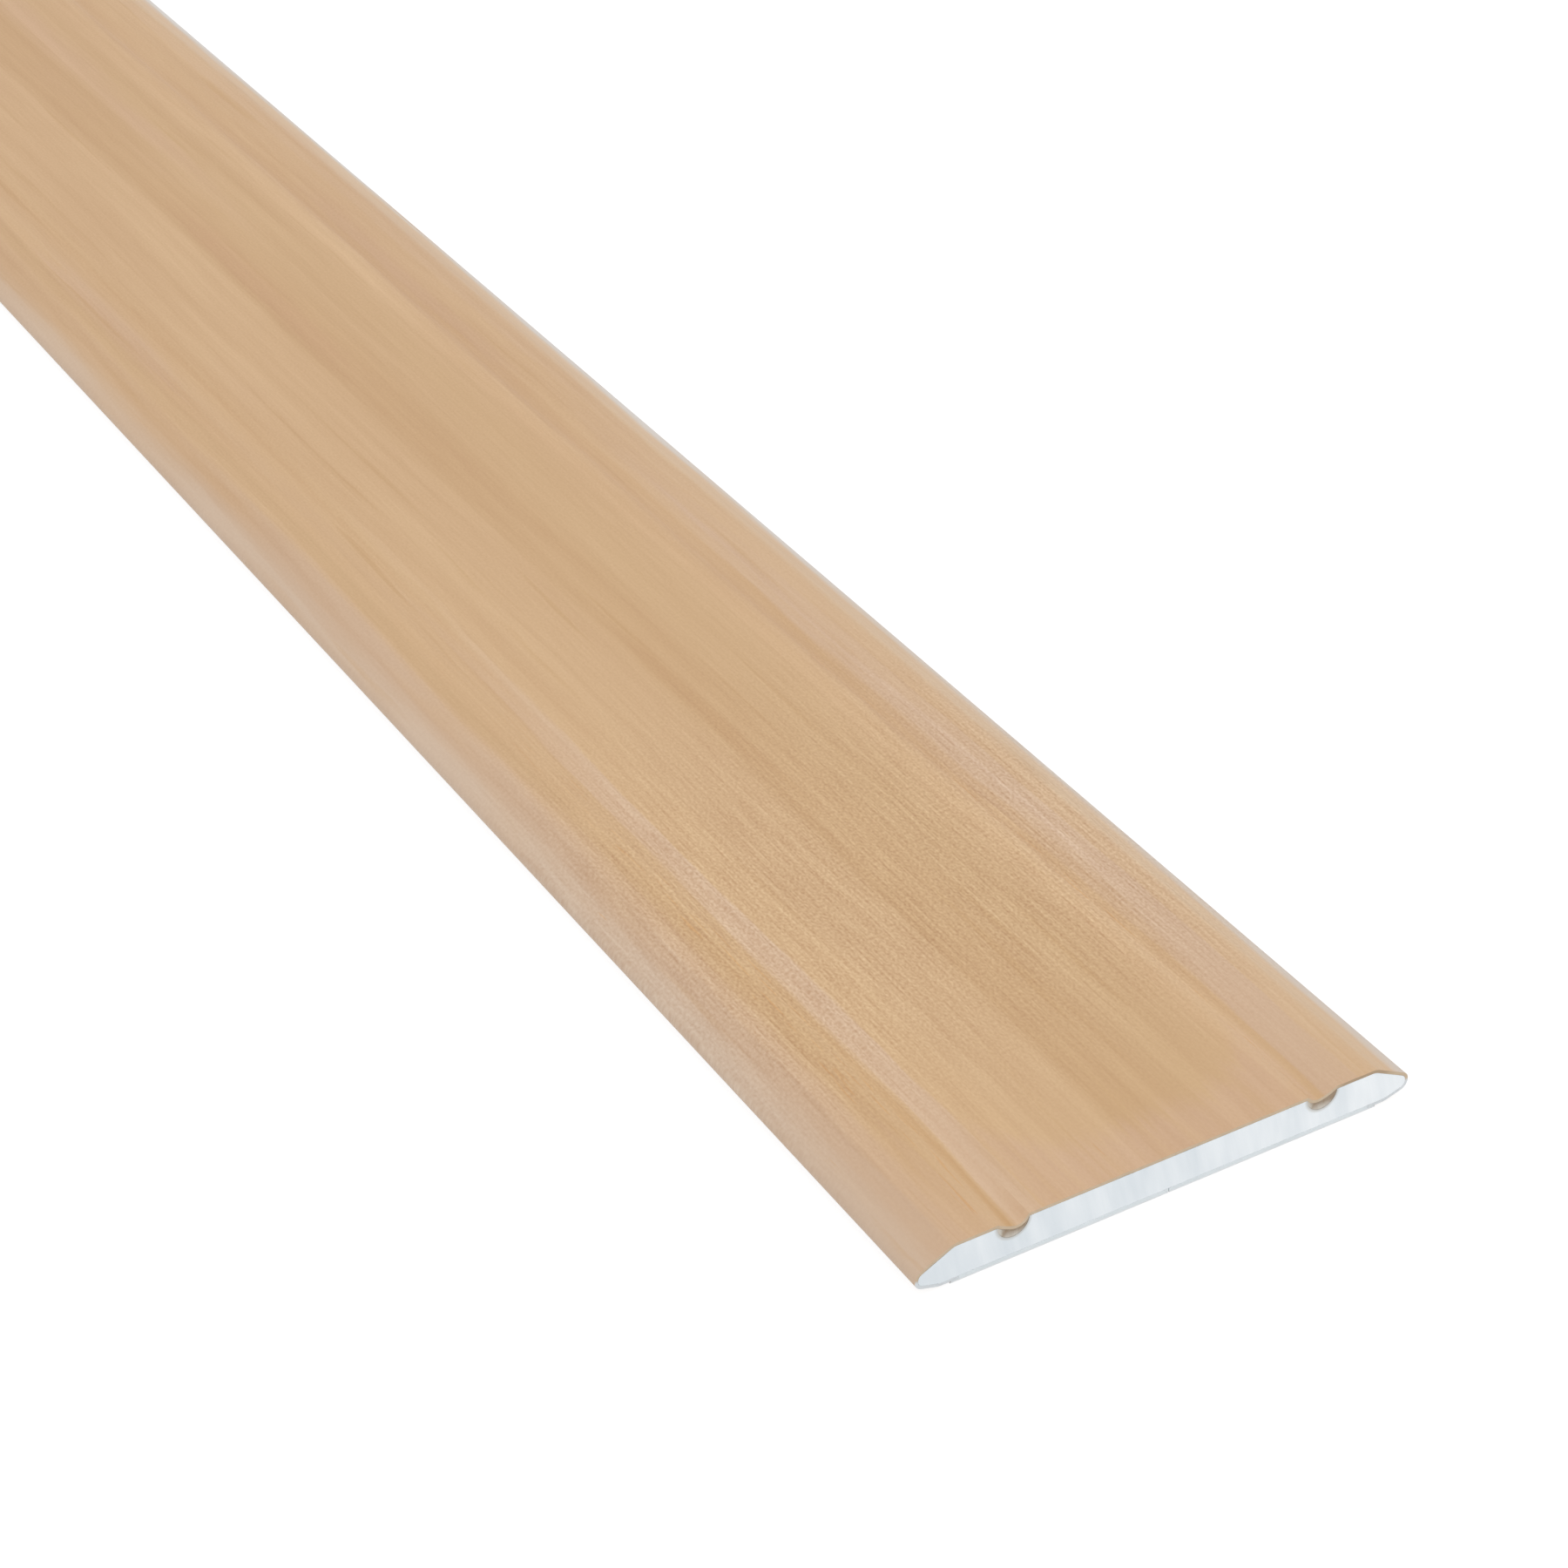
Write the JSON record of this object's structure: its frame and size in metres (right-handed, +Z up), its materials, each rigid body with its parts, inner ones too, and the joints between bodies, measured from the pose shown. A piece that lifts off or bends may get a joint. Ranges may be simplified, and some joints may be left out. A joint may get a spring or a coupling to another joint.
{
  "type": "threshold strip",
  "caption": "Flat threshold strip: a bevelled, grooved aluminium bar wrapped in wood-effect foil, with adhesive tape and peel-off liners underneath for covering a floor joint.",
  "frame": {"origin": "centre of the strip's lowest plane, which is the lower face of the release liners", "axes": "+X along the strip, towards the end that the picture shows; +Y across the strip; +Z up, out of the wood-effect face"},
  "size_m": [0.9, 0.04, 0.0033],
  "materials": {
    "bar_metal": "bare extruded aluminium, sawn at both ends",
    "decor_foil": "satin printed wood-effect foil, light beech tone, finely embossed",
    "tape_adhesive": "translucent off-white double-sided adhesive tape",
    "liner_film": "matt off-white siliconised release liner"
  },
  "bodies": {
    "root": {"aluminium_bar": "bar_metal", "woodgrain_foil": "decor_foil", "adhesive_tape_front": "tape_adhesive", "adhesive_tape_rear": "tape_adhesive", "release_liner_front": "liner_film", "release_liner_rear": "liner_film"}
  },
  "joints": []
}
